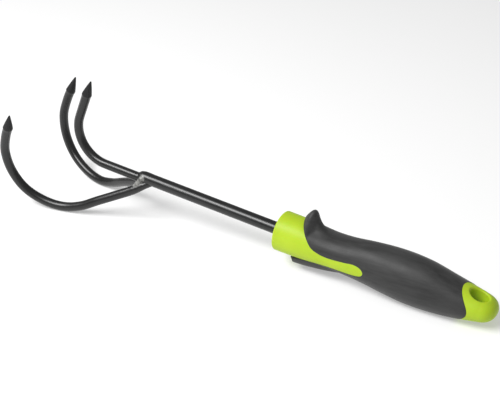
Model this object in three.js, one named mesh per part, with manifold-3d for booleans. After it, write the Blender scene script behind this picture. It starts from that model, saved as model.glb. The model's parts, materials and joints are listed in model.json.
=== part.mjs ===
// A hand cultivator: three hooked tines welded to a short steel shaft, in a two-component handle.
//
// The pieces are drawn in the shaft's frame, in millimetres. +X runs along the shaft from the tines
// to the handle's end, +Z is the side that the tines' points turn to, and +Y completes the frame. The
// origin is on the shaft's axis, just inside the handle. The tool is the same on both sides of Y = 0.
// The last section lays it down as it rests: on its two outer tines and the belly of its grip.
import * as THREE from "three";
import { mergeVertices } from "three/addons/utils/BufferGeometryUtils.js";
import Module from "manifold-3d";

const wasm = await Module();
wasm.setup();

// ---------------------------------------------------------------- driving dimensions

const GAP = 0.3; // clearance between neighbouring pieces

// Shaft: a round bar, with a tang pressed flat on two sides inside the handle
const SHAFT_RADIUS = 4;
const SHAFT_FRONT = -107;
const TANG_DEPTH = 96;
const TANG_FLAT_FROM = 34;
const TANG_HALF_THICKNESS = 2.9;
const TANG_HALF_WIDTH = 4.7;

// Tines: round rods with pencil points
const TINE_RADIUS = 3.1;
const POINT_LENGTH = 11;
const POINT_BASE_RADIUS = 3.35;
const POINT_END_RADIUS = 0.6;

// Centre tine: straight leg, circular bend, straight tail leaning back
const CENTRE_DROP = 1.5;
const CENTRE_LEG_END = -135;
const CENTRE_BEND_RADIUS = 22.2;
const CENTRE_BEND_ANGLE = THREE.MathUtils.degToRad(107.5);
const CENTRE_TAIL = 19.5;

// Outer tine, on the +Y side: from its root in the shaft's underside, out and down, then round the
// hook. The last stretch is its point.
const OUTER_ROUTE = [
  [-100.5, 1.9, -1.9],
  [-108, 5.4, -7.9],
  [-116, 9, -13.2],
  [-130, 14.5, -21],
  [-142.5, 18.5, -28.2],
  [-155, 21, -32],
  [-169, 24.2, -30.6],
  [-182, 27.4, -24],
  [-191, 29.7, -12],
  [-194.3, 31.4, 2.4],
  [-192, 32.7, 15],
  [-189.4, 33.3, 22.4],
  [-186.3, 34.8, 33.2],
];

// Handle: the collar is round, and the grip behind it follows these sections
const HANDLE_FRONT = -0.6;
const HANDLE_END = 142;
const COLLAR_EDGE = 1.1;
const TAIL_FROM = 130;
const HANDLE_SECTIONS = [
  // x, height above the axis, depth below it, half width
  [HANDLE_FRONT, 12.8, 12.6, 12.7],
  [14, 12.7, 12.3, 12.5],
  [34, 11.1, 11.2, 11.7],
  [46, 11.9, 11, 11.8],
  [60, 14.4, 11.5, 12.6],
  [74, 16.1, 13, 13.6],
  [86, 16.5, 14, 14],
  [98, 15.6, 13.8, 13.8],
  [112, 12.6, 12.3, 12.9],
  [124, 9.8, 9.6, 12.2],
  [133, 8.2, 7.6, 10.9],
];
const GRIP_SQUARENESS = 2.15; // superellipse exponent; 2 is an ellipse

// Finger stop: a hump on top, just behind the collar, rounded like a bell curve from side to side
const STOP_RIDGE = [
  // x, height above the grip, spread round the grip in degrees
  [13.4, 0, 15],
  [14.6, 2.6, 16],
  [17, 7, 20],
  [19.2, 9.9, 25],
  [20.8, 10.7, 23],
  [22.4, 10, 18],
  [24.2, 7, 15],
  [26.6, 3.2, 17],
  [30, 0.9, 22],
  [34, 0, 25],
];

// Thumb pad: a flat-bottomed block under the front of the grip, whose front face leans back
const PAD_RAMP = 1.9;
const PAD_FRONT = 11;
const PAD_END = 45;
const PAD_SQUARENESS = 5;
const PAD_SECTIONS = [
  // x, depth below the axis, half width
  [PAD_FRONT, 15.7, 8.8],
  [20, 14.9, 8.9],
  [28, 13.5, 9.2],
  [36, 11.9, 9.3],
  [PAD_END, 9.6, 9.2],
];

// The two plastics: the core shows as the collar, a tongue on each side and the tail
const SKIN = 2.2; // how thick the soft sleeve is over the core
const SLEEVE_TOP_FRONT = 14.8;
const TONGUE_EDGE = [
  // x and z, from the collar's top, round the tongue's end and back to the thumb pad
  [SLEEVE_TOP_FRONT, 12.9],
  [16.8, 11.3],
  [19.6, 9.2],
  [22.6, 6.4],
  [26, 3.5],
  [31, 1.7],
  [37, 1.1],
  [48, 2.4],
  [55, 3.7],
  [59.6, 2.9],
  [61.5, 0.7],
  [60.5, -1.7],
  [57, -3.3],
  [50, -4.7],
  [38, -6],
  [24, -8],
  [PAD_FRONT, -10.2],
];
const LOBE_CENTRE = 132;
const LOBE_RADIUS = 12.5;

// Hanging hole through the tail
const HOLE_CENTRE = 129.8;
const HOLE_HALF_LENGTH = 5.9;
const HOLE_HALF_WIDTH = 5;

// Mesh fineness
const RING_SIDES = 36;
const ROD_SIDES = 12;
const CENTRE_STEPS = 26;
const OUTER_STEPS = 32;
const SHAFT_SIDES = 24;
const BODY_STEP = 6;
const TONGUE_SEGMENTS = 48;
const PLAN_SEGMENTS = 18;
const FAR = 40; // further out than any point of a section

// ---------------------------------------------------------------- solids

const vector = (point) => new THREE.Vector3(...point);

// A closed geometry as a manifold-3d solid.
function solidOf(geometry) {
  const bare = new THREE.BufferGeometry();
  bare.setAttribute("position", geometry.getAttribute("position"));
  bare.setIndex(geometry.getIndex());
  const merged = mergeVertices(bare, 1e-4);
  const mesh = new wasm.Mesh({
    numProp: 3,
    vertProperties: merged.getAttribute("position").array,
    triVerts: new Uint32Array(merged.getIndex().array),
  });
  return new wasm.Manifold(mesh);
}

// A manifold-3d solid as a geometry that three.js can draw.
function geometryOf(solid) {
  const mesh = solid.getMesh();
  const shared = new THREE.BufferGeometry();
  shared.setAttribute("position", new THREE.BufferAttribute(mesh.vertProperties, 3));
  shared.setIndex(new THREE.BufferAttribute(mesh.triVerts, 1));
  const geometry = shared.toNonIndexed();
  geometry.computeVertexNormals();
  return geometry;
}

// A closed skin over a row of rings, each with a fan to its middle at the two ends.
function loft(rings) {
  const sides = rings[0].length;
  const middle = (ring) => {
    const sum = ring.reduce((total, point) => total.add(point), new THREE.Vector3());
    return sum.divideScalar(sides);
  };
  const points = [...rings.flat(), middle(rings[0]), middle(rings.at(-1))];
  const first = points.length - 2;
  const last = points.length - 1;
  const index = [];
  for (let i = 0; i < sides; i += 1) {
    const j = (i + 1) % sides;
    index.push(first, i, j);
    for (let ring = 0; ring < rings.length - 1; ring += 1) {
      const near = ring * sides;
      const far = near + sides;
      index.push(near + i, far + i, near + j);
      index.push(near + j, far + i, far + j);
    }
    const end = (rings.length - 1) * sides;
    index.push(last, end + j, end + i);
  }
  return new THREE.BufferGeometry().setFromPoints(points).setIndex(index);
}

// A straight-sided solid: an outline drawn on the XZ plane, as thick as it needs to be along Y.
function sideCut(points) {
  const shape = new THREE.Shape(points);
  const cut = new THREE.ExtrudeGeometry(shape, { depth: 2 * FAR, bevelEnabled: false });
  cut.rotateX(Math.PI / 2);
  cut.translate(0, FAR, 0);
  return solidOf(cut);
}

// The same for an outline drawn on the XY plane.
function planCut(shape, curveSegments) {
  const cut = new THREE.ExtrudeGeometry(shape, { depth: 2 * FAR, bevelEnabled: false, curveSegments });
  cut.translate(0, 0, -FAR);
  return solidOf(cut);
}

// The largest of the separate bodies that a cut leaves.
function largestBody(solid) {
  return solid.decompose().sort((a, b) => b.volume() - a.volume())[0];
}

// A smooth curve through rows that start with x; it returns the other numbers at any x.
function smoothRows(rows) {
  const width = rows[0].length - 1;
  const positions = rows.map((row) => row[0]);
  const values = rows.flatMap((row) => row.slice(1));
  const curve = new THREE.CubicInterpolant(positions, values, width);
  return (x) => Array.from(curve.evaluate(THREE.MathUtils.clamp(x, positions[0], positions.at(-1))));
}

// ---------------------------------------------------------------- shaft and tines

// The shaft's bar, or with more radius the space that it needs.
function shaftSolid(extra) {
  const radius = SHAFT_RADIUS + extra;
  const front = SHAFT_FRONT - extra;
  const rear = TANG_FLAT_FROM;
  const bar = new THREE.CylinderGeometry(radius, radius, rear - front, SHAFT_SIDES);
  bar.rotateZ(Math.PI / 2);
  bar.translate((front + rear) / 2, 0, 0);
  const length = TANG_DEPTH - rear + 2 * extra;
  const thickness = 2 * (TANG_HALF_THICKNESS + extra);
  const tang = new THREE.BoxGeometry(length, 2 * (TANG_HALF_WIDTH + extra), thickness);
  tang.translate(rear - extra + length / 2, 0, 0);
  return solidOf(bar).add(solidOf(tang));
}

// The centre tine's axis, in the plane Y = 0.
function centreRoute() {
  const bendCentre = -CENTRE_DROP + CENTRE_BEND_RADIUS;
  const route = [
    new THREE.Vector3(SHAFT_FRONT - GAP, 0, -CENTRE_DROP),
    new THREE.Vector3((SHAFT_FRONT + CENTRE_LEG_END) / 2, 0, -CENTRE_DROP),
  ];
  const steps = 6;
  for (let i = 0; i <= steps; i += 1) {
    const turn = (CENTRE_BEND_ANGLE * i) / steps;
    const x = CENTRE_LEG_END - CENTRE_BEND_RADIUS * Math.sin(turn);
    const z = bendCentre - CENTRE_BEND_RADIUS * Math.cos(turn);
    route.push(new THREE.Vector3(x, 0, z));
  }
  const along = new THREE.Vector3(-Math.cos(CENTRE_BEND_ANGLE), 0, Math.sin(CENTRE_BEND_ANGLE));
  const bendEnd = route.at(-1);
  for (const distance of [CENTRE_TAIL / 2, CENTRE_TAIL, CENTRE_TAIL + POINT_LENGTH]) {
    route.push(bendEnd.clone().addScaledVector(along, distance));
  }
  return route;
}

// An outer tine's axis; side is 1 on +Y and -1 on -Y.
function outerRoute(side) {
  return OUTER_ROUTE.map(([x, y, z]) => new THREE.Vector3(x, side * y, z));
}

// A round rod along a route, whose last stretch is a pencil point a little wider than the rod.
function tineSolid(route, steps, extra) {
  const [coneBase, end] = route.slice(-2);
  const section = new THREE.Shape();
  section.absarc(0, 0, TINE_RADIUS + extra, 0, 2 * Math.PI);
  const rod = new THREE.ExtrudeGeometry(section, {
    steps,
    curveSegments: ROD_SIDES / 2,
    extrudePath: new THREE.CatmullRomCurve3(route.slice(0, -1)),
  });
  const length = coneBase.distanceTo(end);
  const collar = TINE_RADIUS / 4;
  const profile = [
    new THREE.Vector2(0, -collar),
    new THREE.Vector2(TINE_RADIUS + extra, -collar),
    new THREE.Vector2(POINT_BASE_RADIUS + extra, 0),
    new THREE.Vector2(POINT_END_RADIUS + extra, length - POINT_END_RADIUS),
    new THREE.Vector2(0, length),
  ];
  const cone = new THREE.LatheGeometry(profile, ROD_SIDES);
  const up = new THREE.Vector3(0, 1, 0);
  const direction = end.clone().sub(coneBase).normalize();
  cone.applyQuaternion(new THREE.Quaternion().setFromUnitVectors(up, direction));
  cone.translate(coneBase.x, coneBase.y, coneBase.z);
  return solidOf(rod).add(solidOf(cone));
}

// An outer tine, cut off at the middle plane and coped to fit against the space that's taken.
function outerTineSolid(side, taken) {
  const half = tineSolid(outerRoute(side), OUTER_STEPS, 0).trimByPlane([0, side, 0], GAP / 2);
  return largestBody(half.subtract(taken));
}

// ---------------------------------------------------------------- weld beads

// A bead of weld metal between two points, round and swollen in the middle.
function beadSolid(from, to, radius) {
  const start = vector(from);
  const finish = vector(to);
  const bead = new THREE.SphereGeometry(1, ROD_SIDES, ROD_SIDES / 2);
  bead.scale(radius, start.distanceTo(finish) / 2, radius);
  const direction = finish.clone().sub(start).normalize();
  bead.applyQuaternion(new THREE.Quaternion().setFromUnitVectors(new THREE.Vector3(0, 1, 0), direction));
  const middle = start.clone().lerp(finish, 0.5);
  bead.translate(middle.x, middle.y, middle.z);
  return solidOf(bead);
}

// ---------------------------------------------------------------- handle

const handleSection = smoothRows(HANDLE_SECTIONS);
const padSection = smoothRows(PAD_SECTIONS);
const stopRidge = smoothRows(STOP_RIDGE);

// How far a superellipse reaches from its middle in the direction (across, up).
function superellipse(across, up, halfWidth, halfHeight, squareness) {
  const sum = Math.abs(across / halfWidth) ** squareness + Math.abs(up / halfHeight) ** squareness;
  return sum ** (-1 / squareness);
}

// The grip's section at x, rounded off at the collar's front edge and over the tail.
function sizesAt(x) {
  const [top, bottom, halfWidth] = handleSection(x);
  const edge = Math.max(0, HANDLE_FRONT + COLLAR_EDGE - x);
  const rounding = COLLAR_EDGE - Math.sqrt(COLLAR_EDGE ** 2 - edge ** 2);
  const tail = THREE.MathUtils.clamp((x - TAIL_FROM) / (HANDLE_END - TAIL_FROM), 0, 1);
  const narrowing = (1 - tail ** 2.4) ** (1 / 2.4);
  const thinning = (1 - tail ** 2.2) ** (1 / 2.2);
  return {
    top: (top - rounding) * thinning,
    bottom: (bottom - rounding) * thinning,
    halfWidth: (halfWidth - rounding) * narrowing,
  };
}

// The handle's outside: its distance from the axis at x, in the direction that angle gives.
// An angle of 0 points along -Y, and a quarter turn points along +Z.
function outsideAt(x, angle) {
  const across = Math.cos(angle);
  const up = Math.sin(angle);
  const { top, bottom, halfWidth } = sizesAt(x);
  let reach = superellipse(across, up, halfWidth, up > 0 ? top : bottom, GRIP_SQUARENESS);
  if (up < 0 && x > PAD_FRONT && x < PAD_END) {
    const [depth, padHalfWidth] = padSection(x);
    const extra = superellipse(across, up, padHalfWidth, depth, PAD_SQUARENESS) - reach;
    const share = THREE.MathUtils.clamp((x - PAD_FRONT) / PAD_RAMP, 0.12, 1);
    reach += Math.max(0, extra) * share;
  }
  const fromTop = Math.acos(THREE.MathUtils.clamp(up, -1, 1));
  const [height, spread] = stopRidge(x);
  const slope = fromTop / THREE.MathUtils.degToRad(spread);
  return reach + Math.max(0, height) * Math.exp(-(slope ** 2));
}

// The core under the sleeve: the plain grip, thinner by the sleeve and its clearance.
function insideAt(x, angle, offset) {
  const { top, bottom, halfWidth } = sizesAt(x);
  const up = Math.sin(angle);
  return superellipse(Math.cos(angle), up, halfWidth, up > 0 ? top : bottom, GRIP_SQUARENESS) - offset;
}

// One ring of points round the handle's axis.
function ringAt(x, reach) {
  return Array.from({ length: RING_SIDES }, (_, i) => {
    const angle = (2 * Math.PI * i) / RING_SIDES;
    const distance = reach(x, angle);
    return new THREE.Vector3(x, -distance * Math.cos(angle), distance * Math.sin(angle));
  });
}

// Where the rings stand: close together over the edge, the stop and the tail.
function stations() {
  const front = [0, 0.13, 0.4, 1].map((share) => HANDLE_FRONT + share * COLLAR_EDGE);
  const stop = STOP_RIDGE.map(([x]) => x);
  const body = [];
  for (let x = 38; x <= TAIL_FROM; x += BODY_STEP) {
    body.push(x);
  }
  const tail = [];
  const tailSteps = 7;
  for (let i = 1; i <= tailSteps; i += 1) {
    const share = Math.sin((i * Math.PI) / 2 / (tailSteps + 0.25));
    tail.push(TAIL_FROM + (HANDLE_END - TAIL_FROM) * share);
  }
  const pad = [PAD_FRONT, PAD_FRONT + 0.25, PAD_FRONT + PAD_RAMP, PAD_END - 0.2, PAD_END + 0.2];
  return [...front, ...pad, ...stop, ...body, ...tail].sort((a, b) => a - b);
}

// The side outline of the core's front part: the collar and the tongue, grown by a clearance.
function frontOutline(grow) {
  const marks = TONGUE_EDGE.map(([x, z]) => new THREE.Vector2(x, z));
  const edge = new THREE.SplineCurve(marks).getPoints(TONGUE_SEGMENTS);
  const grown = edge.map((point, i) => {
    const before = edge[Math.max(0, i - 1)];
    const after = edge[Math.min(edge.length - 1, i + 1)];
    const along = after.clone().sub(before).normalize();
    return new THREE.Vector2(point.x - along.y * grow, point.y + along.x * grow);
  });
  const topRear = new THREE.Vector2(SLEEVE_TOP_FRONT + grow, FAR);
  const bottomRear = new THREE.Vector2(PAD_FRONT + grow, -FAR);
  return [new THREE.Vector2(-FAR, FAR), topRear, ...grown, bottomRear, new THREE.Vector2(-FAR, -FAR)];
}

// The plan outline of the core's rear part: a round lobe about the hole and all behind it.
function rearOutline(grow) {
  const shape = new THREE.Shape();
  const radius = LOBE_RADIUS + grow;
  shape.moveTo(LOBE_CENTRE, radius);
  shape.absarc(LOBE_CENTRE, 0, radius, Math.PI / 2, (3 * Math.PI) / 2, false);
  shape.lineTo(LOBE_CENTRE, -FAR);
  shape.lineTo(HANDLE_END + FAR, -FAR);
  shape.lineTo(HANDLE_END + FAR, FAR);
  shape.lineTo(LOBE_CENTRE, FAR);
  return shape;
}

function shownRegion(grow) {
  const front = sideCut(frontOutline(grow));
  const rear = planCut(rearOutline(grow), PLAN_SEGMENTS);
  return front.add(rear);
}

function handleSolids() {
  const marks = stations();
  const outside = solidOf(loft(marks.map((x) => ringAt(x, outsideAt))));
  const hiddenMarks = marks.filter((x) => x > HANDLE_FRONT + COLLAR_EDGE && x < TAIL_FROM);
  const hidden = (offset) => {
    const reach = (x, angle) => insideAt(x, angle, offset);
    return solidOf(loft(hiddenMarks.filter((_, i) => i % 2 === 0).map((x) => ringAt(x, reach))));
  };
  const holeShape = new THREE.Shape();
  holeShape.absellipse(HOLE_CENTRE, 0, HOLE_HALF_LENGTH, HOLE_HALF_WIDTH, 0, 2 * Math.PI);
  const hole = planCut(holeShape, PLAN_SEGMENTS);
  const core = outside
    .intersect(shownRegion(0))
    .add(hidden(SKIN + GAP))
    .subtract(shaftSolid(GAP))
    .subtract(hole);
  const sleeve = outside.subtract(shownRegion(GAP)).subtract(hidden(SKIN));
  return { core, sleeve };
}

// ---------------------------------------------------------------- the tool

const blackPaint = new THREE.MeshStandardMaterial({ color: 0x1c1d1e, roughness: 0.3, metalness: 0.2 });
const limePlastic = new THREE.MeshStandardMaterial({ color: 0xc1d83f, roughness: 0.45, metalness: 0 });
const greyRubber = new THREE.MeshStandardMaterial({ color: 0x4a4b4c, roughness: 0.65, metalness: 0 });

const tool = new THREE.Group();

function addNode(name, solid, material) {
  const mesh = new THREE.Mesh(geometryOf(solid), material.clone());
  mesh.name = name;
  tool.add(mesh);
}

const centreSpace = tineSolid(centreRoute(), CENTRE_STEPS, GAP);
const taken = shaftSolid(GAP).add(centreSpace);
addNode("shaft", shaftSolid(0), blackPaint);
addNode("centre_tine", tineSolid(centreRoute(), CENTRE_STEPS, 0), blackPaint);
addNode("left_tine", outerTineSolid(-1, taken), blackPaint);
addNode("right_tine", outerTineSolid(1, taken), blackPaint);

// Weld metal fills what is left between the rods, so each bead is cut back from all of them.
const beads = [
  { name: "left_weld", from: [-103.2, -2.2, 1.8], to: [-110.2, -7.2, -7.4], radius: 2.5 },
  { name: "right_weld", from: [-103.2, 2.2, 1.8], to: [-110.2, 7.2, -7.4], radius: 2.5 },
  { name: "top_weld", from: [-103.5, 0, 2.4], to: [-111, 0, 1], radius: 2.2 },
  { name: "root_weld", from: [-97, 0, -2.6], to: [-109, 0, -8.2], radius: 2.6 },
];
let filled = taken;
for (const side of [-1, 1]) {
  filled = filled.add(tineSolid(outerRoute(side), OUTER_STEPS, GAP));
}
for (const { name, from, to, radius } of beads) {
  addNode(name, largestBody(beadSolid(from, to, radius).subtract(filled)), blackPaint);
  filled = filled.add(beadSolid(from, to, radius + GAP));
}

const { core, sleeve } = handleSolids();
addNode("handle_core", core, limePlastic);
addNode("grip_sleeve", sleeve, greyRubber);

// ---------------------------------------------------------------- how it lies

// The lowest point, after a turn about Y, of the part of the tool that lies on one side of X = 0.
function lowestPoint(turn, isHandle) {
  const lowest = new THREE.Vector3(0, 0, Infinity);
  const point = new THREE.Vector3();
  for (const mesh of tool.children) {
    const places = mesh.geometry.getAttribute("position");
    for (let i = 0; i < places.count; i += 1) {
      point.fromBufferAttribute(places, i);
      const here = point.x > 0;
      point.applyAxisAngle(new THREE.Vector3(0, 1, 0), turn);
      if (here === isHandle && point.z < lowest.z) {
        lowest.copy(point);
      }
    }
  }
  return lowest;
}

// The turn that brings the tines' lowest points and the grip's belly to one height.
let restTurn = 0;
const REST_PASSES = 12;
for (let pass = 0; pass < REST_PASSES; pass += 1) {
  const tines = lowestPoint(restTurn, false);
  const belly = lowestPoint(restTurn, true);
  restTurn += Math.atan2(belly.z - tines.z, belly.x - tines.x);
}
tool.rotation.y = restTurn;

const resting = new THREE.Group();
resting.add(tool);
const box = new THREE.Box3().setFromObject(resting, true);
const middle = box.getCenter(new THREE.Vector3());
tool.position.set(-middle.x, -middle.y, -box.min.z);

export default resting;
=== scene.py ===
"""Looks of a hand cultivator: three painted steel tines on a short shaft, in a lime and grey handle.

The tool is drawn in its shaft's frame, in millimetres: +X runs along the shaft to the handle's end, +Z is
the side the points turn to, +Y completes the frame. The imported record's collar_face mount says where that
frame is, and place() takes each mesh from it to the row's frame in metres.
"""

import json
import math
from itertools import accumulate

import bpy
import numpy as np
from mathutils import Matrix, Vector


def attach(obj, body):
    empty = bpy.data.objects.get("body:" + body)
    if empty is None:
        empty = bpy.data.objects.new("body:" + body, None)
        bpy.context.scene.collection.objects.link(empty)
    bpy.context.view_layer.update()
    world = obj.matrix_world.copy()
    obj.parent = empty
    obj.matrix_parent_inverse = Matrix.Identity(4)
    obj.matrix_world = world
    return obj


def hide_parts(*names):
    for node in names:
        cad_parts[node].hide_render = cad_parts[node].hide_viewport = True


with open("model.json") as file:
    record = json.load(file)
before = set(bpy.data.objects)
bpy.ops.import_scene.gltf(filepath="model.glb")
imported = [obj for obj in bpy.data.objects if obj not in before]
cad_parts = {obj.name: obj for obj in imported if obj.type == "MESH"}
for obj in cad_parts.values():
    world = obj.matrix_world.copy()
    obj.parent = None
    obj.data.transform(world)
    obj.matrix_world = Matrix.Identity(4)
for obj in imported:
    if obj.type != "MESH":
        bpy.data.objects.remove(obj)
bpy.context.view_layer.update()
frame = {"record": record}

# ---------------------------------------------------------------- where the tool is

MM = 0.001
HANDLE_FRONT = -0.6  # x of the collar's face
MOUNT_HEIGHT = 9  # z of the collar_face mount

collar = next(m for m in frame["record"]["mounts"] if m["name"] == "collar_face")
ALONG = -Vector(collar["axis"]).normalized()
ACROSS = Vector((0, 1, 0))
UPWARD = ALONG.cross(ACROSS)
ORIGIN = Vector(collar["pos_m"]) - (HANDLE_FRONT * ALONG + MOUNT_HEIGHT * UPWARD) * MM
PLACE = np.array([ALONG, ACROSS, UPWARD])


def place(points):
    """Points in the shaft's frame, in mm, as points in the row's frame, in metres."""
    return np.asarray(points, float) @ PLACE * MM + np.array(ORIGIN)


# ---------------------------------------------------------------- dimensions of the handle, in mm

HANDLE_END = 142
HANDLE_SECTIONS = [  # x, height above the axis, depth below it, half width
    [HANDLE_FRONT, 12.8, 12.6, 12.7],
    [14, 12.7, 12.3, 12.5],
    [34, 11.1, 11.2, 11.7],
    [46, 11.9, 11, 11.8],
    [60, 14.4, 11.5, 12.6],
    [74, 16.1, 13, 13.6],
    [86, 16.5, 14, 14],
    [98, 15.6, 13.8, 13.8],
    [112, 12.6, 12.3, 12.9],
    [124, 9.8, 9.6, 12.2],
    [133, 8.2, 7.6, 10.9],
]
GRIP_SQUARENESS = 2.15  # exponent of the grip's section: 2 is an ellipse, and more is squarer
COLLAR_EDGE = 1.1  # radius of the collar's rounded front edge
TAIL_FROM = 130  # the handle rounds off from here to its end
TAIL_NARROWING = 2.4  # exponent of the tail's outline from above
TAIL_THINNING = 2.2  # and from the side
STOP_RIDGE = [  # x, height of the finger stop above the grip, its spread round the grip in degrees
    [13.4, 0, 15],
    [14.6, 2.6, 16],
    [17, 7, 20],
    [19.2, 9.9, 25],
    [20.8, 10.7, 23],
    [22.4, 10, 18],
    [24.2, 7, 15],
    [26.6, 3.2, 17],
    [30, 0.9, 22],
    [34, 0, 25],
]
PAD_FRONT = 11
PAD_END = 45
PAD_RAMP = 1.9  # how far back the pad's front face leans
PAD_STEP = 0.12  # share of the pad's depth that stands square at its very front
PAD_FADE_END = PAD_END + 0.5
PAD_FADE = 1.2  # length over which the pad's end merges with the grip
PAD_SQUARENESS = 5
PAD_SECTIONS = [  # x, depth of the thumb pad below the axis, half width
    [PAD_FRONT, 15.7, 8.8],
    [20, 14.9, 8.9],
    [28, 13.5, 9.2],
    [36, 11.9, 9.3],
    [PAD_END, 9.6, 9.2],
]
TONGUE_EDGE = [  # x and z of the edge between the two plastics, from the collar's top to the pad
    [14.8, 12.9],
    [16.8, 11.3],
    [19.6, 9.2],
    [22.6, 6.4],
    [26, 3.5],
    [31, 1.7],
    [37, 1.1],
    [48, 2.4],
    [55, 3.7],
    [59.6, 2.9],
    [61.5, 0.7],
    [60.5, -1.7],
    [57, -3.3],
    [50, -4.7],
    [38, -6],
    [24, -8],
    [PAD_FRONT, -10.2],
]
TONGUE_REACH = 60  # the edge runs straight on from both of its ends, to this far above and below the axis
LOBE_CENTRE = 132  # the tail shows inside this circle, seen from above, and past its middle
LOBE_RADIUS = 12.5
HOLE_CENTRE = 129.8
HOLE_HALF_LENGTH = 5.9
HOLE_HALF_WIDTH = 5
HOLE_LIP = 1.3  # radius of the hole's rounded rim
HOLE_CUT = 14  # how far the hole's cutter reaches above and below the axis

SLEEVE_PROUD = 0.12  # the sleeve stands this far over the surface, and the core as far under it
SLEEVE_ROUND = 0.4  # rounding of the sleeve's edge
SLEEVE_DEEP = 1.4  # how far the sleeve reaches under the core's surface
CORE_UNDER = 1.6  # how far the core drops where the sleeve covers it
CORE_DROP_FROM = 0.5  # distance inside the sleeve's edge where that drop starts
CORE_DROP_LENGTH = 0.9  # and the length that it takes

BORE_DEPTH = 6
BORE_GAP = 0.12  # between the shaft and its bore in the collar
BORE_LIP = 0.4  # rounding of the bore's mouth
BORE_FLOOR_RING = 0.02  # radius of the small ring in the middle of the bore's floor
FACE_RINGS = (8, 10)  # radii of the rings across the collar's flat front

# ---------------------------------------------------------------- dimensions of the fork, in mm

SHAFT_RADIUS = 4
SHAFT_FRONT = -107
SHAFT_REAR = BORE_DEPTH - 0.5  # in the bore, clear of its floor
SHAFT_EDGE_LENGTH = 4.5  # the bar's front end is rounded over this length, and by this much
SHAFT_EDGE_DROP = 1.3

TINE_RADIUS = 3.1
POINT_LENGTH = 11
POINT_BASE_RADIUS = 3.35
POINT_END_RADIUS = 0.6
POINT_SWELL = 0.12  # how far the point's cone bulges
POINT_FLARE = 1.6  # over this length the rod widens to the point's base
CENTRE_DROP = 1.5  # the centre tine lies this far under the shaft's axis
CENTRE_LEG = (-100, -112, -124)  # x of points along its straight leg
CENTRE_LEG_END = -135
CENTRE_BEND_RADIUS = 22.2
CENTRE_BEND_ANGLE = math.radians(107.5)
CENTRE_TAIL = 19.5  # straight length between its bend and its point
ROOT_RADIUS = 2.2
ROOT_TAPER = 15  # over this length an outer tine thickens from its root to the full rod
OUTER_ROUTE = [  # middle of the tine on the +Y side, from its root in the shaft to its point
    [-97, 0.9, -1.6],
    [-102, 2.8, -4.5],
    [-109, 6.1, -9.2],
    [-116, 9, -13.2],
    [-130, 14.5, -21],
    [-142.5, 18.5, -28.2],
    [-155, 21, -32],
    [-169, 24.2, -30.6],
    [-182, 27.4, -24],
    [-191, 29.7, -12],
    [-194.3, 31.4, 2.4],
    [-192, 32.7, 15],
    [-189.4, 33.3, 22.4],
    [-186.3, 34.8, 33.2],
]

SIDE_BEAD = [  # middle of the bead on the +Y side, from the shaft's side down to the tine
    [-101.6, 1.9, 2],
    [-103.4, 3.4, 0.6],
    [-105, 4.3, -1.9],
    [-106.8, 5, -4.8],
    [-108.4, 5.8, -7.4],
]
SIDE_BEAD_RADII = [1.4, 1.6, 1.6, 1.6, 1.6]
TOP_BEAD = [[-101.5, 0, 1.6], [-105, 0, 1.5], [-109, 0, 0]]
TOP_BEAD_RADII = [1.6, 1.9, 1.6]
ROOT_BEAD = [[-98.5, 0, -2.2], [-102, 0, -3.6], [-107, 0, -6.2]]
ROOT_BEAD_RADII = [1, 1.8, 1.8]
RIPPLE_HEIGHT = 0.015  # of the ripples across a bead, as a share of its radius
RIPPLE_ANGLE = 26  # radians of ripple from one end of a bead to the other
WELD_FRONT = -112  # x that the weld's skin reaches along the tines
WELD_REAR = -96  # and along the shaft
CENTRE_STUB_END = -102  # x where the centre tine ends inside the weld
ROOT_STUB_END = -99  # and where the outer tines do
WELD_COVER = 0.12  # the weld's skin over the rods at the joint, before it is smoothed
WELD_DIVE = 0.75  # how far the skin dives under that at its ends
WELD_VOXEL = 0.22  # size of the cells that the parts are fused in
WELD_SMOOTHING = 22  # steps of smoothing after that

# ---------------------------------------------------------------- fineness of the meshes

GRIP_SIDES = 240
SHAFT_SIDES = 80
ROD_SIDES = 40
BEAD_SIDES = 32
HOLE_SIDES = 128
CORE_SPANS = [(10, 64, 0.45), (64, 118, 0.8), (118, TAIL_FROM, 0.3)]  # x from, x to, step of the rings
SLEEVE_SPANS = [(9, 36, 0.32), (36, 64, 0.45), (64, 116, 1), (116, LOBE_CENTRE + 1, 0.45)]

# ---------------------------------------------------------------- curves and sections

TINY = 1e-4  # keeps a width or a distance from being 0


def smooth_rows(rows):
    """A smooth curve through rows that start with x, as a function of many x."""
    rows = np.array(rows, float)
    knots, values = rows[:, 0], rows[:, 1:]
    end = len(knots) - 1

    def at(x):
        x = np.clip(x, knots[0], knots[-1])
        right = np.clip(np.searchsorted(knots, x, side="right"), 1, end)
        left = right - 1
        before = np.where(left > 0, left - 1, right)
        after = np.where(right < end, right + 1, left)
        gap = knots[right] - knots[left]
        wp = gap / 2 / (knots[left] - knots[before])  # half the span over the one before it,
        wn = gap / 2 / (knots[after] - knots[right])  # and over the one after it
        p = (x - knots[left]) / gap
        shares = [
            (before, -wp * p**3 + 2 * wp * p**2 - wp * p),
            (left, (1 + wp) * p**3 + (-1.5 - 2 * wp) * p**2 + (-0.5 + wp) * p + 1),
            (right, (-1 - wn) * p**3 + (1.5 + wn) * p**2 + 0.5 * p),
            (after, wn * p**3 - wn * p**2),
        ]
        return sum(share[..., None] * values[i] for i, share in shares)

    return at


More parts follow.
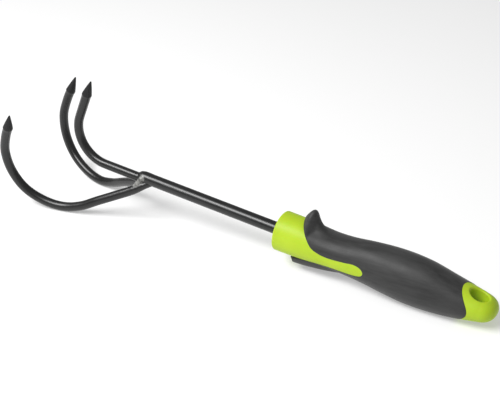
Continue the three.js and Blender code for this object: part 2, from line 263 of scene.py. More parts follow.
def catmull_rom(points, per_span):
    """A centripetal Catmull-Rom curve through the points, as many points."""
    points = np.array(points, float)
    ends = 2 * points[[0, -1]] - points[[1, -2]]
    padded = np.vstack([ends[0], points, ends[1]])
    made = []
    for p0, p1, p2, p3 in zip(padded, padded[1:], padded[2:], padded[3:]):
        d0, d1, d2 = (np.linalg.norm(b - a) ** 0.5 for a, b in ((p0, p1), (p1, p2), (p2, p3)))
        m1 = ((p1 - p0) / d0 - (p2 - p0) / (d0 + d1) + (p2 - p1) / d1) * d1
        m2 = ((p2 - p1) / d1 - (p3 - p1) / (d1 + d2) + (p3 - p2) / d2) * d1
        t = np.linspace(0, 1, per_span, endpoint=False)[:, None]
        cubic = 2 * p1 - 2 * p2 + m1 + m2
        square = -3 * p1 + 3 * p2 - 2 * m1 - m2
        made.append(p1 + m1 * t + square * t**2 + cubic * t**3)
    return np.vstack([*made, points[-1:]])


def smooth_step(x):
    """0 up to x = 0, 1 from x = 1, and a smooth rise between them."""
    x = np.clip(x, 0, 1)
    return x * x * (3 - 2 * x)


def quarter_turn(count):
    """Angles from 0 to a quarter turn."""
    return np.linspace(0, math.pi / 2, count)


def full_turn(sides):
    """Angles of the sides of a ring."""
    return np.linspace(0, 2 * math.pi, sides, endpoint=False)


def about_axis(x, angle, radius):
    """Points about the X axis; an angle of 0 is on the -Y side and a quarter turn on the +Z side."""
    return np.stack([x, -radius * np.cos(angle), radius * np.sin(angle)], -1)


handle_section = smooth_rows(HANDLE_SECTIONS)
pad_section = smooth_rows(PAD_SECTIONS)
stop_ridge = smooth_rows(STOP_RIDGE)


def superellipse(angle, half_width, half_height, squareness):
    """The radius of a superellipse at an angle."""
    across, up = np.cos(angle), np.sin(angle)
    total = np.abs(across / half_width) ** squareness + np.abs(up / half_height) ** squareness
    return total ** (-1 / squareness)


def grip_radius(x, angle):
    """The plain grip, from its axis."""
    top, bottom, half_width = np.moveaxis(handle_section(x), -1, 0)
    edge = np.clip(HANDLE_FRONT + COLLAR_EDGE - x, 0, COLLAR_EDGE)
    rounding = COLLAR_EDGE - np.sqrt(COLLAR_EDGE**2 - edge**2)
    tail = np.clip((x - TAIL_FROM) / (HANDLE_END - TAIL_FROM), 0, 1)
    narrowing = (1 - tail**TAIL_NARROWING) ** (1 / TAIL_NARROWING)
    thinning = (1 - tail**TAIL_THINNING) ** (1 / TAIL_THINNING)
    height = (np.where(np.sin(angle) > 0, top, bottom) - rounding) * thinning
    width = (half_width - rounding) * narrowing
    return superellipse(angle, np.maximum(width, TINY), np.maximum(height, TINY), GRIP_SQUARENESS)


def sleeve_radius(x, angle):
    """The grip with its thumb pad and finger stop."""
    up = np.sin(angle)
    grip = grip_radius(x, angle)
    depth, pad_width = np.moveaxis(pad_section(x), -1, 0)
    pad = superellipse(angle, pad_width, depth, PAD_SQUARENESS)
    share = smooth_step((PAD_FADE_END - x) / PAD_FADE) * np.clip((x - PAD_FRONT) / PAD_RAMP, PAD_STEP, 1)
    reach = np.where(up < 0, grip + np.maximum(pad - grip, 0) * share, grip)
    from_top = np.arccos(np.clip(up, -1, 1))
    height, spread = np.moveaxis(stop_ridge(x), -1, 0)
    stop = np.maximum(height, 0) * np.exp(-((from_top / np.radians(spread)) ** 2))
    return reach + stop + SLEEVE_PROUD


tongue_line = np.vstack([
    [TONGUE_EDGE[0][0], TONGUE_REACH],
    catmull_rom(TONGUE_EDGE, 6),
    [PAD_FRONT, -TONGUE_REACH],
])


def sleeve_side(points):
    """How far points lie on the sleeve's side of the edge between the plastics, in mm."""
    xz = points[:, [0, 2]]
    nearest = np.full(len(points), np.inf)
    crossings = np.zeros(len(points), int)
    for a, b in zip(tongue_line, tongue_line[1:]):
        run = b - a
        share = np.clip(((xz - a) @ run) / (run @ run), 0, 1)
        nearest = np.minimum(nearest, np.linalg.norm(xz - a - share[:, None] * run, axis=1))
        spans = (a[1] > xz[:, 1]) != (b[1] > xz[:, 1])
        rise = run[1] if run[1] else 1
        crossings += spans & (xz[:, 0] < a[0] + run[0] * (xz[:, 1] - a[1]) / rise)
    behind = np.where(crossings % 2 == 0, nearest, -nearest)
    lobe = np.hypot(points[:, 0] - LOBE_CENTRE, points[:, 1]) - LOBE_RADIUS
    lobe = np.where(points[:, 0] < LOBE_CENTRE, lobe, np.minimum(lobe, LOBE_CENTRE - points[:, 0]))
    return np.minimum(behind, lobe)


# ---------------------------------------------------------------- meshes


def add_piece(name, points, faces, materials, nodes, slot):
    """A smooth closed mesh that stands for some CAD nodes."""
    mesh = bpy.data.meshes.new(name)
    mesh.from_pydata(place(points).tolist(), [], faces)
    mesh.validate()
    mesh.shade_smooth()
    for material in materials:
        mesh.materials.append(material)
    piece = bpy.data.objects.new(name, mesh)
    bpy.context.scene.collection.objects.link(piece)
    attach(piece, "root")
    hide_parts(*nodes)
    return piece


def keep_mesh(piece):
    """Makes the result of a piece's modifiers its own mesh."""
    graph = bpy.context.evaluated_depsgraph_get()
    result = bpy.data.meshes.new_from_object(piece.evaluated_get(graph))
    piece.modifiers.clear()
    piece.data = result
    result.name = piece.name
    result.shade_smooth()


def grid_faces(rows, sides):
    """Quads of a closed tube of rings, facing out where the rings turn from -Y to +Z along +X."""
    row, side = np.meshgrid(np.arange(rows - 1), np.arange(sides), indexing="ij")
    near = row * sides
    far = near + sides
    after = (side + 1) % sides
    quads = np.stack([near + side, far + side, far + after, near + after], -1)
    return quads.reshape(-1, 4).tolist()


def capped(points, faces, sides):
    """A tube of rings with a fan to the middle at both ends."""
    count = len(points)
    points = np.vstack([points, points[:sides].mean(0), points[-sides:].mean(0)])
    for i in range(sides):
        after = (i + 1) % sides
        faces.append([count, i, after])
        faces.append([count + 1, count - sides + after, count - sides + i])
    return points, faces


def ring_points(x, radius):
    """Rings about the X axis: x has one value a ring, and radius one value a ring and side."""
    x = np.broadcast_to(x[:, None], radius.shape)
    return about_axis(x, full_turn(radius.shape[1]), radius).reshape(-1, 3)


def grip_rings(x, radius_at):
    """The radius of a surface of the grip, for every ring at x and every side."""
    return radius_at(*np.broadcast_arrays(x[:, None], full_turn(GRIP_SIDES)))


def stations(*spans):
    """x of the rings: each span is (from, to, step)."""
    parts = [np.linspace(a, b, max(2, round((b - a) / step)), endpoint=False) for a, b, step in spans]
    return np.concatenate([*parts, [spans[-1][1]]])


def clipped(points, faces, level):
    """The part of a mesh where level is above 0, cut exactly along its edge."""
    points, made, cuts, used = list(points), [], {}, {}

    def cut(a, b):
        key = (min(a, b), max(a, b))
        if key not in cuts:
            share = level[a] / (level[a] - level[b])
            cuts[key] = len(points)
            points.append(points[a] + (points[b] - points[a]) * share)
        return cuts[key]

    for face in faces:
        inside = [level[v] > 0 for v in face]
        if not any(inside):
            continue
        kept = []
        for i, v in enumerate(face):
            after = (i + 1) % len(face)
            if inside[i]:
                kept.append(v)
            if inside[i] != inside[after]:
                kept.append(cut(v, face[after]))
        made.append(kept)
    for face in made:
        for i, v in enumerate(face):
            face[i] = used.setdefault(v, len(used))
    return np.array([points[v] for v in used]), made


def swept(path, radii, sides=ROD_SIDES):
    """A closed tube along a path that doesn't start along Y, with a radius at each point."""
    path = np.asarray(path, float)
    tangents = np.gradient(path, axis=0)
    tangents /= np.linalg.norm(tangents, axis=1)[:, None]
    side = np.cross(tangents[0], [0, 1, 0])
    angle = full_turn(sides)[:, None]
    rings = []
    for centre, along, radius in zip(path, tangents, radii):
        side = side - along * (side @ along)
        side /= np.linalg.norm(side)
        other = np.cross(along, side)
        rings.append(centre + radius * (np.cos(angle) * side + np.sin(angle) * other))
    points, faces = capped(np.vstack(rings), grid_faces(len(path), sides), sides)
    return points, [face[::-1] for face in faces]


# ---------------------------------------------------------------- materials


class Nodes:
    """A principled material, with helpers that add noise, ramps and bump to it."""

    def __init__(self, name, **sockets):
        self.material = bpy.data.materials.new(name)
        self.material.use_nodes = True
        self.tree = self.material.node_tree
        self.shader = self.tree.nodes["Principled BSDF"]
        self.object = self.add("ShaderNodeTexCoord").outputs["Object"]
        for socket, value in sockets.items():
            self.shader.inputs[socket.replace("_", " ")].default_value = value

    def add(self, kind, **settings):
        node = self.tree.nodes.new(kind)
        for key, value in settings.items():
            setattr(node, key, value)
        return node

    def link(self, output, target):
        self.tree.links.new(output, target)

    def feed(self, socket, value):
        """Gives a socket an output or a plain value."""
        if isinstance(value, bpy.types.NodeSocket):
            self.link(value, socket)
        else:
            socket.default_value = value

    def noise(self, size_mm, detail, roughness, stretch=(1, 1, 1)):
        """Noise of a given grain size, in mm; stretch lengthens the grain along an axis."""
        mapping = self.add("ShaderNodeMapping")
        mapping.inputs["Scale"].default_value = [1 / s for s in stretch]
        self.link(self.object, mapping.inputs["Vector"])
        noise = self.add("ShaderNodeTexNoise")
        noise.inputs["Scale"].default_value = 1 / (size_mm * MM)
        noise.inputs["Detail"].default_value = detail
        noise.inputs["Roughness"].default_value = roughness
        self.link(mapping.outputs["Vector"], noise.inputs["Vector"])
        return noise.outputs["Fac"]

    def span(self, value, low, high, to_low, to_high):
        """Maps a value from one range to another, clamped."""
        node = self.add("ShaderNodeMapRange", clamp=True)
        for key, number in zip(("From Min", "From Max", "To Min", "To Max"), (low, high, to_low, to_high)):
            node.inputs[key].default_value = number
        self.link(value, node.inputs["Value"])
        return node.outputs["Result"]

    def mix(self, factor, a, b):
        """Mixes two colours, each an output or three numbers."""
        node = self.add("ShaderNodeMix", data_type="RGBA")
        self.link(factor, node.inputs[0])
        for socket, colour in ((node.inputs[6], a), (node.inputs[7], b)):
            self.feed(socket, (*colour, 1) if isinstance(colour, list) else colour)
        return node.outputs[2]

    def mottle(self, noise, low, high, a, b, share=1):
        """Colour a, turning into b, or a share of it, as a noise goes from low to high."""
        return self.mix(self.span(noise, low, high, 0, share), a, b)

    def both(self, a, b, operation="ADD"):
        """Two numbers, each an output or a plain value, put together by a maths node."""
        node = self.add("ShaderNodeMath", operation=operation)
        self.feed(node.inputs[0], a)
        self.feed(node.inputs[1], b)
        return node.outputs[0]

    def nearest(self, points):
        """The distance to the nearest of some points, in metres."""
        near = 1  # further than any piece of the tool
        for point in points:
            away = self.add("ShaderNodeVectorMath", operation="DISTANCE")
            self.link(self.object, away.inputs[0])
            away.inputs[1].default_value = point
            near = self.both(away.outputs["Value"], near, "MINIMUM")
        return near

    def bump(self, height, depth_mm, strength):
        """Adds relief over what the material already has."""
        previous = self.shader.inputs["Normal"].links
        node = self.add("ShaderNodeBump")
        node.inputs["Distance"].default_value = depth_mm * MM
        node.inputs["Strength"].default_value = strength
        self.link(height, node.inputs["Height"])
        if previous:
            self.link(previous[0].from_socket, node.inputs["Normal"])
        self.link(node.outputs["Normal"], self.shader.inputs["Normal"])

    def set(self, socket, output):
        self.link(output, self.shader.inputs[socket])


def srgb(*values):
    """An sRGB colour from 0 to 255 as linear numbers."""
    shares = [v / 255 for v in values]
    return [s / 12.92 if s <= 0.04045 else ((s + 0.055) / 1.055) ** 2.4 for s in shares]


ENAMEL = {"Coat_Weight": 0.2, "Coat_Roughness": 0.25, "Specular_IOR_Level": 0.42}
BLACK = srgb(12, 12, 12)
DUSTY_BLACK = srgb(22, 23, 23)
LUMPY_BLACK = srgb(24, 25, 25)
DULL_BLACK = srgb(16, 16, 17)
SCUFFED_BLACK = srgb(34, 34, 35)
# greys of the painted highlight on the side beads, which stands for the key light's reflection
HIGHLIGHT_DIM_GREY = srgb(104, 104, 101)
HIGHLIGHT_PALE_GREY = srgb(150, 150, 146)
LIME_DEEP = srgb(164, 191, 34)
LIME_PALE = srgb(174, 200, 43)
GREY_CLEAN = srgb(29, 29, 29)
GREY_HANDLED = srgb(37, 37, 37)
GREY_STREAK = srgb(56, 56, 56)
PAINTED_HIGHLIGHT_PATH = [  # points down the middle of the +Y side bead, along its painted highlight
    [-103.2, 3.3, 0.9],
    [-104.7, 4.1, -1.2],
    [-105.8, 4.7, -3],
    [-106.9, 5.1, -4.8],
]
HIGHLIGHT_FULL_RADIUS = 1.5  # mm from those points to where the painted highlight starts to fade,
HIGHLIGHT_FADED_RADIUS = 2.5  # and to where it is gone
HIGHLIGHT_WAVER = 0.4  # mm by which lumps move that edge either way


def black_paint():
    """Glossy black enamel over drawn rod: orange peel, dust and rubbed patches."""
    m = Nodes("black_paint", **ENAMEL)
    patches = m.noise(14, 4, 0.6)
    fine = m.noise(0.9, 3, 0.6)
    m.set("Base Color", m.mottle(patches, 0.35, 0.7, BLACK, DUSTY_BLACK))
    rubbed = m.span(patches, 0.3, 0.7, 0.27, 0.36)
    m.set("Roughness", m.both(rubbed, m.span(fine, 0.3, 0.7, -0.03, 0.05)))
    m.bump(m.noise(2.4, 2, 0.4), 0.05, 0.35)
    m.bump(m.noise(0.5, 2, 0.5), 0.012, 0.5)
    return m.material


def point_paint():
    """The ground points: the same black, but thin, dull and a little scuffed."""
    m = Nodes("point_paint", Specular_IOR_Level=0.35)
    scuffs = m.noise(1.2, 5, 0.7, (1, 1, 5))
    m.set("Base Color", m.mottle(scuffs, 0.5, 0.75, DULL_BLACK, SCUFFED_BLACK))
    m.set("Roughness", m.span(scuffs, 0.3, 0.7, 0.62, 0.45))
    m.bump(m.noise(0.5, 3, 0.6, (1, 1, 4)), 0.03, 0.6)
    return m.material


def weld_paint():
    """Paint over weld metal: the same black, lumpier, with a painted highlight of pale grey down the side
    beads where the key light's reflection falls.
    """
    m = Nodes("painted_weld", **ENAMEL)
    lumps = m.noise(1.6, 3, 0.55)
    paint = m.mottle(lumps, 0.35, 0.7, BLACK, LUMPY_BLACK)
    # pale greys of the painted highlight down the side beads, mixed in by its distance from
    # PAINTED_HIGHLIGHT_PATH
    metal = m.mottle(m.noise(0.8, 3, 0.6), 0.35, 0.65, HIGHLIGHT_DIM_GREY, HIGHLIGHT_PALE_GREY)
    near = m.nearest(place([[x, side * y, z] for x, y, z in PAINTED_HIGHLIGHT_PATH for side in (-1, 1)]))
    waver = m.span(lumps, 0.3, 0.7, -HIGHLIGHT_WAVER * MM, HIGHLIGHT_WAVER * MM)
    highlight_share = m.span(m.both(near, waver), HIGHLIGHT_FULL_RADIUS * MM, HIGHLIGHT_FADED_RADIUS * MM, 1, 0)
    m.set("Base Color", m.mix(highlight_share, paint, metal))
    m.set("Roughness", m.span(lumps, 0.3, 0.7, 0.27, 0.36))
    m.bump(lumps, 0.1, 0.4)
    m.bump(m.noise(0.4, 2, 0.5), 0.02, 0.5)
    return m.material


def lime_plastic():
    """Moulded lime plastic with a fine spark-eroded grain."""
    m = Nodes("lime_plastic", Subsurface_Weight=0.12, Subsurface_Scale=0.002, Specular_IOR_Level=0.3)
    flow = m.noise(22, 3, 0.5)
    grain = m.noise(0.45, 3, 0.6)
    m.set("Base Color", m.mottle(flow, 0.35, 0.65, LIME_DEEP, LIME_PALE))
    satin = m.span(flow, 0.3, 0.7, 0.45, 0.53)
    m.set("Roughness", m.both(satin, m.span(grain, 0.3, 0.7, -0.04, 0.06)))
    m.bump(grain, 0.03, 0.6)
    return m.material


def grey_soft_plastic():
    """Soft overmoulded plastic: dark grey, with a leathery micro grain and faint handling marks."""
    m = Nodes("grey_soft_plastic", Specular_IOR_Level=0.4, Sheen_Weight=0.12, Sheen_Roughness=0.5)
    marks = m.noise(9, 4, 0.6)
    grain = m.noise(0.38, 3, 0.6)
    streaks = m.noise(2.6, 4, 0.65, (9, 1, 1))
    worn = m.mottle(marks, 0.35, 0.7, GREY_CLEAN, GREY_HANDLED)
    m.set("Base Color", m.mottle(streaks, 0.35, 0.7, worn, GREY_STREAK, 0.6))
    matt = m.span(marks, 0.3, 0.7, 0.5, 0.6)
    m.set("Roughness", m.both(matt, m.span(grain, 0.3, 0.7, -0.05, 0.06)))
    m.bump(grain, 0.04, 0.6)
    return m.material


PAINT = black_paint()
POINT = point_paint()
WELD = weld_paint()
LIME = lime_plastic()
GREY = grey_soft_plastic()

# ---------------------------------------------------------------- handle


def bore_rings():
    """x and radius of the rings from the floor of the collar's bore, out of it and over the flat front."""
    bore = SHAFT_RADIUS + BORE_GAP
    floor = [(BORE_DEPTH, BORE_FLOOR_RING), (BORE_DEPTH, bore)]
    lip = [(BORE_LIP, 0), (BORE_LIP / 4, 0.3 * BORE_LIP), (0, BORE_LIP)]
    mouth = [(HANDLE_FRONT + inward, bore + outward) for inward, outward in lip]
    return floor + mouth + [(HANDLE_FRONT, radius) for radius in FACE_RINGS]


def dip_at_hole(points):
    """Lowers both faces of the tail round the hanging hole, which gives the hole a rounded rim."""
    x, y, z = points.T
    reach = np.hypot((x - HOLE_CENTRE) / HOLE_HALF_LENGTH, y / HOLE_HALF_WIDTH)
    outside = (reach - 1) * np.hypot(x - HOLE_CENTRE, y) / np.maximum(reach, TINY)
    near = np.clip(HOLE_LIP - outside, 0, HOLE_LIP)
    dip = HOLE_LIP - np.sqrt(HOLE_LIP**2 - near**2)
    points[:, 2] -= np.sign(z) * np.minimum(dip, np.abs(z))


def core_mesh():
    """The hard core: collar with its bore, tongues and tail, lower where the sleeve covers it."""
    x_bore, r_bore = np.array(bore_rings()).T
    edge = HANDLE_FRONT + COLLAR_EDGE * (1 - np.cos(quarter_turn(9)))
    body = stations((edge[-1] + 0.3, CORE_SPANS[0][0], 0.8), *CORE_SPANS)
    closing = quarter_turn(46)[1:] * 0.998  # just short of the end, so that the last ring keeps a width
    tail = TAIL_FROM + (HANDLE_END - TAIL_FROM) * np.sin(closing)
    x = np.concatenate([edge, body, tail])
    radius = grip_rings(x, grip_radius)
    over = sleeve_side(ring_points(x, radius)).reshape(radius.shape)
    under = smooth_step((over - CORE_DROP_FROM) / CORE_DROP_LENGTH)
    drop = SLEEVE_PROUD + (CORE_UNDER - SLEEVE_PROUD) * under
    radius = radius - np.minimum(drop, radius / 2)
    radius = np.vstack([np.repeat(r_bore[:, None], GRIP_SIDES, axis=1), radius])
    points = ring_points(np.concatenate([x_bore, x]), radius)
    dip_at_hole(points)
    return capped(points, grid_faces(len(radius), GRIP_SIDES), GRIP_SIDES)


def cut_hole(piece):
    """Cuts the hanging hole through the core's tail."""
    turn = full_turn(HOLE_SIDES)
    ring = np.stack([HOLE_CENTRE + HOLE_HALF_LENGTH * np.cos(turn), HOLE_HALF_WIDTH * np.sin(turn)], -1)
    heights = np.linspace(-HOLE_CUT, HOLE_CUT, 71)  # short quads, so that the wall shades evenly
    levels = [np.column_stack([ring, np.full(HOLE_SIDES, z)]) for z in heights]
    faces = [face[::-1] for face in grid_faces(len(levels), HOLE_SIDES)]
    last = (len(levels) - 1) * HOLE_SIDES
    faces.append(list(range(HOLE_SIDES))[::-1])
    faces.append(list(range(last, last + HOLE_SIDES)))
    mesh = bpy.data.meshes.new("hole_cutter")
    mesh.from_pydata(place(np.vstack(levels)).tolist(), [], faces)
    mesh.materials.append(piece.data.materials[0])  # for the hole's wall
    cutter = bpy.data.objects.new("hole_cutter", mesh)
    bpy.context.scene.collection.objects.link(cutter)
    boolean = piece.modifiers.new("hole", "BOOLEAN")
    boolean.operation = "DIFFERENCE"
    boolean.solver = "MANIFOLD"
    boolean.object = cutter
    keep_mesh(piece)
    bpy.data.objects.remove(cutter)


def surface_normals(x, angle):
    """Outward normals of the sleeve's surface."""
    step, turn = 0.02, 0.002  # mm and radians

    def at(x, angle):
        return about_axis(x, angle, sleeve_radius(x, angle))

    along = at(x + step, angle) - at(x - step, angle)
    around = at(x, angle + turn) - at(x, angle - turn)
    normals = np.cross(along, around)
    return normals / np.linalg.norm(normals, axis=1)[:, None]


def open_edges(faces):
    """The edges that only one face has, in order."""
    edges = {(a, b) for face in faces for a, b in zip(face, face[1:] + face[:1])}
    return sorted((a, b) for a, b in edges if (b, a) not in edges)


def off_the_sleeve(points, normals):
    """Unit vectors along the surface that point out over the sleeve's edge."""
    step = 0.05
    slope = np.stack([sleeve_side(points + step * axis) for axis in np.eye(3)], -1)
    slope -= sleeve_side(points)[:, None]
    slope -= normals * np.sum(slope * normals, axis=1)[:, None]
    return -slope / np.linalg.norm(slope, axis=1)[:, None]


def sleeve_mesh():
    """The soft sleeve: the grip's skin, cut along the edge, with a rounded rim and an inner face."""
    x = stations(*SLEEVE_SPANS)
    skin = ring_points(x, grip_rings(x, sleeve_radius))
    plain = ring_points(x, grip_rings(x, grip_radius))
    outer, faces = clipped(skin, grid_faces(len(x), GRIP_SIDES), sleeve_side(plain) - SLEEVE_ROUND)
    angle = np.arctan2(outer[:, 2], -outer[:, 1])
    rim = open_edges(faces)
    members = sorted({v for edge in rim for v in edge})
    normals = surface_normals(outer[:, 0], angle)[members]
    outward = off_the_sleeve(outer[members], normals)
    layers = [outer]
    for turn in quarter_turn(5)[1:]:
        across, down = SLEEVE_ROUND * math.sin(turn), SLEEVE_ROUND * (1 - math.cos(turn))
        layers.append(outer[members] + outward * across - normals * down)
    foot = layers[-1]
    foot_angle = np.arctan2(foot[:, 2], -foot[:, 1])
    foot_radius = grip_radius(foot[:, 0], angle[members]) - SLEEVE_DEEP
    layers.append(about_axis(foot[:, 0], foot_angle, foot_radius))
    layers.append(about_axis(outer[:, 0], angle, grip_radius(outer[:, 0], angle) - SLEEVE_DEEP))
    starts = list(accumulate([len(layer) for layer in layers[:-1]], initial=0))
    rims = [{v: start + i for i, v in enumerate(members)} for start in starts]
    rims[0] = {v: v for v in members}
    rims[-1] = {v: starts[-1] + v for v in members}
    made = faces + [[starts[-1] + v for v in reversed(face)] for face in faces]
    for here, there in zip(rims, rims[1:]):
        made += [[here[b], here[a], there[a], there[b]] for a, b in rim]
    return np.vstack(layers), made


core = add_piece("handle_core_shell", *core_mesh(), [LIME], ["handle_core"], "lime_plastic")
cut_hole(core)
add_piece("grip_sleeve_skin", *sleeve_mesh(), [GREY], ["grip_sleeve"], "grey_soft_plastic")

# ---------------------------------------------------------------- shaft and tines


def shaft_radius(x):
    """The bar's radius, smaller at its rounded front end."""
    share = np.clip((x - SHAFT_FRONT) / SHAFT_EDGE_LENGTH, 0, 1)
    return SHAFT_RADIUS - SHAFT_EDGE_DROP * (1 - np.sqrt(1 - (1 - share) ** 2))


def shaft_mesh():
    """The round bar from the weld to its bore in the collar, with a softly rounded front."""
    edge = SHAFT_FRONT + SHAFT_EDGE_LENGTH
    x = stations((SHAFT_FRONT, edge, 0.4), (edge, SHAFT_REAR, 1.8))
    points = ring_points(x, np.repeat(shaft_radius(x)[:, None], SHAFT_SIDES, axis=1))
    return capped(points, grid_faces(len(x), SHAFT_SIDES), SHAFT_SIDES)


def centre_route():
    """The middle of the centre tine: a straight leg, a round bend and a straight tail to the point."""
    turn = np.linspace(0, CENTRE_BEND_ANGLE, 15)
    x = CENTRE_LEG_END - CENTRE_BEND_RADIUS * np.sin(turn)
    z = CENTRE_BEND_RADIUS * (1 - np.cos(turn)) - CENTRE_DROP
    bend = np.stack([x, 0 * x, z], -1)
    along = np.array([-math.cos(CENTRE_BEND_ANGLE), 0, math.sin(CENTRE_BEND_ANGLE)])
    leg = [[x, 0, -CENTRE_DROP] for x in CENTRE_LEG]
    tail = [bend[-1] + along * CENTRE_TAIL * share for share in (0.33, 0.67, 1)]
    return np.vstack([leg, bend, tail, [bend[-1] + along * (CENTRE_TAIL + POINT_LENGTH)]])


def outer_route(side):
    """The middle of an outer tine; side is 1 or -1."""
    return np.array(OUTER_ROUTE) * [1, side, 1]


def tine_rod(route, root):
    """The path of a tine up to its point, and its radii, which start at root."""
    rod = catmull_rom(route[:-1], 14)
    run = np.concatenate([[0], np.cumsum(np.linalg.norm(np.diff(rod, axis=0), axis=1))])
    radii = root + (TINE_RADIUS - root) * np.minimum(run / ROOT_TAPER, 1)
    flare = smooth_step((run - run[-1] + POINT_FLARE) / POINT_FLARE)
    return rod, radii + (POINT_BASE_RADIUS - TINE_RADIUS) * flare


def tine_mesh(route, root):
    """A rod along a route that starts at radius root, with a ground pencil point."""
    rod, rod_radii = tine_rod(route, root)
    length = np.linalg.norm(route[-1] - rod[-1])
    along = (route[-1] - rod[-1]) / length
    stretch = length - POINT_END_RADIUS
    slant = np.linspace(0, 1, 15)[1:]
    cone = rod[-1] + along * (slant * stretch)[:, None]
    cone_radii = POINT_BASE_RADIUS + (POINT_END_RADIUS - POINT_BASE_RADIUS) * slant
    cone_radii += POINT_SWELL * np.sin(slant * math.pi)
    turn = quarter_turn(5)[1:] * 0.98  # just short of the end, so that the last ring keeps a width
    tip = rod[-1] + along * (stretch + POINT_END_RADIUS * np.sin(turn))[:, None]
    tip_radii = POINT_END_RADIUS * np.cos(turn)
    return swept(np.vstack([rod, cone, tip]), np.concatenate([rod_radii, cone_radii, tip_radii]))


def add_tine(name, route, root, node):
    """A tine whose ground point has its own, duller paint."""
    piece = add_piece(name, *tine_mesh(route, root), [PAINT, POINT], [node], "black_paint")
    base, tip = (Vector(spot) for spot in place(route[-2:]))
    along = (tip - base).normalized()
    for polygon in piece.data.polygons:
        by_the_tip = (polygon.center - tip).length < 1.2 * POINT_LENGTH * MM
        if by_the_tip and (polygon.center - base).dot(along) > 0:
            polygon.material_index = 1


add_piece("shaft_bar", *shaft_mesh(), [PAINT], ["shaft"], "black_paint")
add_tine("centre_tine_rod", centre_route(), TINE_RADIUS, "centre_tine")
add_tine("left_tine_rod", outer_route(-1), ROOT_RADIUS, "left_tine")
add_tine("right_tine_rod", outer_route(1), ROOT_RADIUS, "right_tine")

# ---------------------------------------------------------------- weld metal


def stub(path, radius):
    """A length of rod inside the weld, whose ends dive under the rod's own surface."""
    share = np.linspace(-1, 1, len(path))
    return swept(path, radius + WELD_COVER - WELD_DIVE * share**4)


def straight_stub(x, z, radius):
    """A stub of a rod that runs along X."""
    return stub(np.stack([x, 0 * x, 0 * x + z], -1), radius)


def bead_mesh(points, radii):
    """A swollen run of weld metal with faint ripples across it."""
    path = catmull_rom(points, 16)
    share = np.linspace(0, 1, len(path))
    radius = np.interp(share, np.linspace(0, 1, len(radii)), radii)
    ends = np.sqrt(np.clip(1 - (2 * share - 1) ** 4, 0.0004, 1))  # rounds off both ends
    ripples = 1 + RIPPLE_HEIGHT * np.sin(share * RIPPLE_ANGLE)
    return swept(path, radius * ends * ripples, BEAD_SIDES)


def weld_parts():
    """Everything that the weld metal fuses: stubs of the rods and the four beads."""
    shaft = np.linspace(SHAFT_FRONT, WELD_REAR, 40)
    yield straight_stub(shaft, 0, shaft_radius(shaft))
    leg = np.linspace(WELD_FRONT, CENTRE_STUB_END, 40)
    yield straight_stub(leg, -CENTRE_DROP, TINE_RADIUS)
    for side in (-1, 1):
        rod, radii = tine_rod(outer_route(side), ROOT_RADIUS)
        kept = (rod[:, 0] > WELD_FRONT) & (rod[:, 0] < ROOT_STUB_END)
        yield stub(rod[kept], radii[kept])
        yield bead_mesh(np.array(SIDE_BEAD) * [1, side, 1], SIDE_BEAD_RADII)
    yield bead_mesh(TOP_BEAD, TOP_BEAD_RADII)
    yield bead_mesh(ROOT_BEAD, ROOT_BEAD_RADII)


def weld_mesh():
    """The weld's parts as one mesh, still overlapping."""
    points, faces = [], []
    for part_points, part_faces in weld_parts():
        faces += [[len(points) + v for v in face] for face in part_faces]
        points += part_points.tolist()
    return points, faces


def fuse(piece):
    """Remeshes overlapping parts as one skin and smooths its creases into fillets."""
    remesh = piece.modifiers.new("fuse", "REMESH")
    remesh.mode = "VOXEL"
    remesh.voxel_size = WELD_VOXEL * MM
    smooth = piece.modifiers.new("fillet", "SMOOTH")
    smooth.factor = 0.5
    smooth.iterations = WELD_SMOOTHING
    keep_mesh(piece)


welds = ["left_weld", "right_weld", "top_weld", "root_weld"]
fuse(add_piece("weld_metal", *weld_mesh(), [WELD], welds, "painted_weld"))

# ---------------------------------------------------------------- floor, light and camera

FLOOR_REACH = 3  # metres from the middle to each side
FLOOR_GREY = 0.62
FLOOR_GLOW = 0.34
WORLD_STRENGTH = 0.34
WHITE = (1, 1, 1, 1)
KEY_SPOT = (-0.39, -0.6, 0.89)  # the key light's place, target and size, in metres
KEY_TARGET = (0, 0, 0.03)
KEY_SIZE = (0.9, 0.42)
KEY_WATTS = 17
CAMERA_TARGET = [-24.09, 0, 13.06]  # in the shaft's frame, in mm
CAMERA_DISTANCE = 718.2  # mm
CAMERA_AZIMUTH = math.radians(27.53)  # from -Y towards +X
CAMERA_ELEVATION = math.radians(32.77)
CAMERA_ROLL = math.radians(5)  # clockwise
CAMERA_LENS = 82.8  # mm, on a sensor 36 mm wide


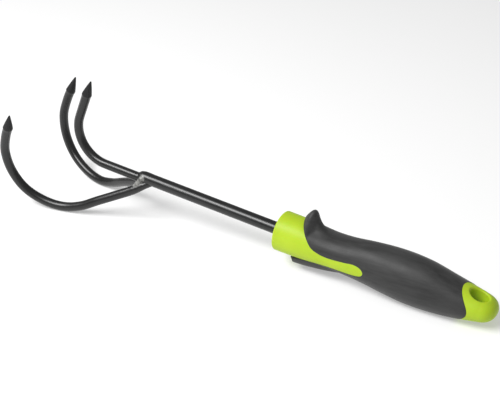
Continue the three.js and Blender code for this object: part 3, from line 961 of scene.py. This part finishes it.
def add_floor():
    """A large white floor that glows a little, so that it fades into the background."""
    mesh = bpy.data.meshes.new("floor")
    size = FLOOR_REACH
    corners = [(-size, -size, 0), (size, -size, 0), (size, size, 0), (-size, size, 0)]
    mesh.from_pydata(corners, [], [(0, 1, 2, 3)])
    m = Nodes("floor_white", Roughness=0.8, Specular_IOR_Level=0.2, Emission_Strength=FLOOR_GLOW)
    m.shader.inputs["Base Color"].default_value = (FLOOR_GREY, FLOOR_GREY, FLOOR_GREY, 1)
    m.shader.inputs["Emission Color"].default_value = WHITE
    mesh.materials.append(m.material)
    floor = bpy.data.objects.new("floor", mesh)
    bpy.context.scene.collection.objects.link(floor)


def add_world():
    """An even white surround."""
    world = bpy.data.worlds.new("studio")
    world.use_nodes = True
    background = world.node_tree.nodes["Background"]
    background.inputs["Color"].default_value = WHITE
    background.inputs["Strength"].default_value = WORLD_STRENGTH
    bpy.context.scene.world = world


def add_key_light():
    """A soft box above the tool, on the camera's side and towards the tines."""
    light = bpy.data.lights.new("key", "AREA")
    light.shape = "RECTANGLE"
    light.size, light.size_y = KEY_SIZE
    light.energy = KEY_WATTS
    lamp = bpy.data.objects.new("key", light)
    lamp.location = KEY_SPOT
    lamp.rotation_mode = "QUATERNION"
    lamp.rotation_quaternion = (Vector(KEY_TARGET) - Vector(KEY_SPOT)).to_track_quat("-Z", "Y")
    bpy.context.scene.collection.objects.link(lamp)


def add_camera():
    """Above the tool, on its -Y side and out past the handle's end."""
    back = np.array([
        math.sin(CAMERA_AZIMUTH) * math.cos(CAMERA_ELEVATION),
        -math.cos(CAMERA_AZIMUTH) * math.cos(CAMERA_ELEVATION),
        math.sin(CAMERA_ELEVATION),
    ])
    level = np.array([math.cos(CAMERA_AZIMUTH), math.sin(CAMERA_AZIMUTH), 0])
    upright = np.cross(back, level)
    right = math.cos(CAMERA_ROLL) * level + math.sin(CAMERA_ROLL) * upright
    up = np.cross(back, right)
    columns = np.stack([right, up, back]) @ PLACE
    data = bpy.data.cameras.new("camera")
    data.lens = CAMERA_LENS
    data.sensor_width = 36
    data.clip_start, data.clip_end = 0.01, 20
    camera = bpy.data.objects.new("camera", data)
    spot = Vector(place(np.array(CAMERA_TARGET) + back * CAMERA_DISTANCE))
    camera.matrix_world = Matrix.Translation(spot) @ Matrix(columns.T.tolist()).to_4x4()
    bpy.context.scene.collection.objects.link(camera)
    bpy.context.scene.camera = camera


add_floor()
add_world()
add_key_light()
add_camera()
bpy.context.scene.view_settings.view_transform = "Standard"
